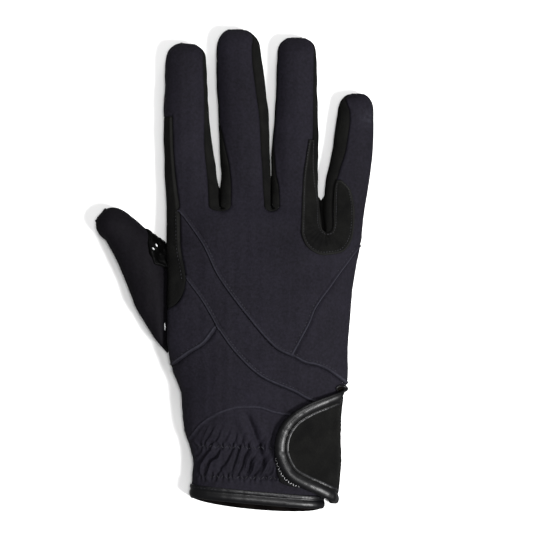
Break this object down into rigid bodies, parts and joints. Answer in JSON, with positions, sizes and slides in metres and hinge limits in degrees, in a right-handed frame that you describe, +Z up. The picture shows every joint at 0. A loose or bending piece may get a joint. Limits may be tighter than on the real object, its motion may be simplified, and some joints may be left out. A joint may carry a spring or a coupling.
{
  "type": "riding glove",
  "caption": "Right-hand riding glove with a stretch back, suede grip panels, gathered cuff and a bound wrist tab, lying on its palm.",
  "frame": {"origin": "bottom centre of the glove's bounding box, on the surface that the palm lies on", "axes": "+X towards the little-finger side, +Y towards the fingertips, +Z up out of the back of the hand"},
  "size_m": [0.1344, 0.2334, 0.0222],
  "materials": {
    "stretch": "matt navy-black stretch softshell",
    "suede": "matt black synthetic suede",
    "palm": "matt black synthetic suede with small silver-grey grip dots",
    "binding": "glossy black coated leather binding",
    "loop": "black loop pile"
  },
  "bodies": {
    "root": {"back_main": "stretch", "back_band": "stretch", "back_ulnar": "stretch", "back_thumb_gusset": "stretch", "back_wrist": "stretch", "thumb_back": "stretch", "index_side_panel": "suede", "palm_panel": "palm", "thumb_palm": "palm", "fourchette_index_middle": "suede", "fourchette_middle_ring": "suede", "fourchette_ring_little": "suede", "rein_patch": "suede", "closure_tab": "suede", "hem_binding": "binding", "tab_binding": "binding", "loop_patch": "loop"}
  },
  "joints": []
}
